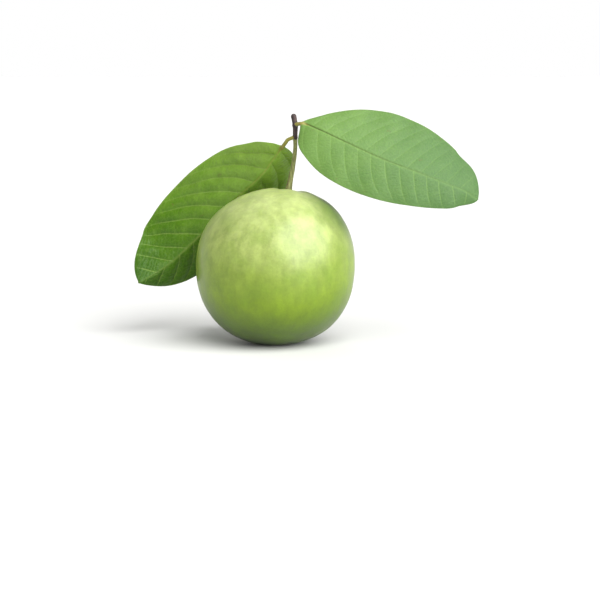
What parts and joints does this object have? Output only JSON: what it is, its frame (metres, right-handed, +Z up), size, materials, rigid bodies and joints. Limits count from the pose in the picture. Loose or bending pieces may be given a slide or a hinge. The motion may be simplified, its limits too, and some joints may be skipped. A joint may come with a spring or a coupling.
{
  "type": "guava",
  "caption": "Picked guava: a round green fruit resting on a small flat spot, with a dried crown underneath, a stalk, a cut twig end and leaves.",
  "frame": {"origin": "the middle of the flat spot that the fruit rests on", "axes": "+Z is up along the fruit, +X points to the side that the raised leaf grows towards, and the hanging leaf lies at the back, towards +Y"},
  "size_m": [0.1767, 0.0856, 0.1181],
  "materials": {
    "skin": "satin",
    "crown": "matte",
    "stamens": "matte",
    "stalk": "satin",
    "bark": "matte",
    "left_leaf_blade": "satin",
    "right_leaf_blade": "satin"
  },
  "bodies": {
    "root": {"fruit": "skin", "crown_lobe_1": "crown", "crown_lobe_2": "crown", "crown_lobe_3": "crown", "crown_lobe_4": "crown", "crown_lobe_5": "crown", "dried_stamens": "stamens", "fruit_stalk": "stalk", "twig_end": "bark", "left_leaf": "left_leaf_blade", "right_leaf": "right_leaf_blade"}
  },
  "joints": []
}
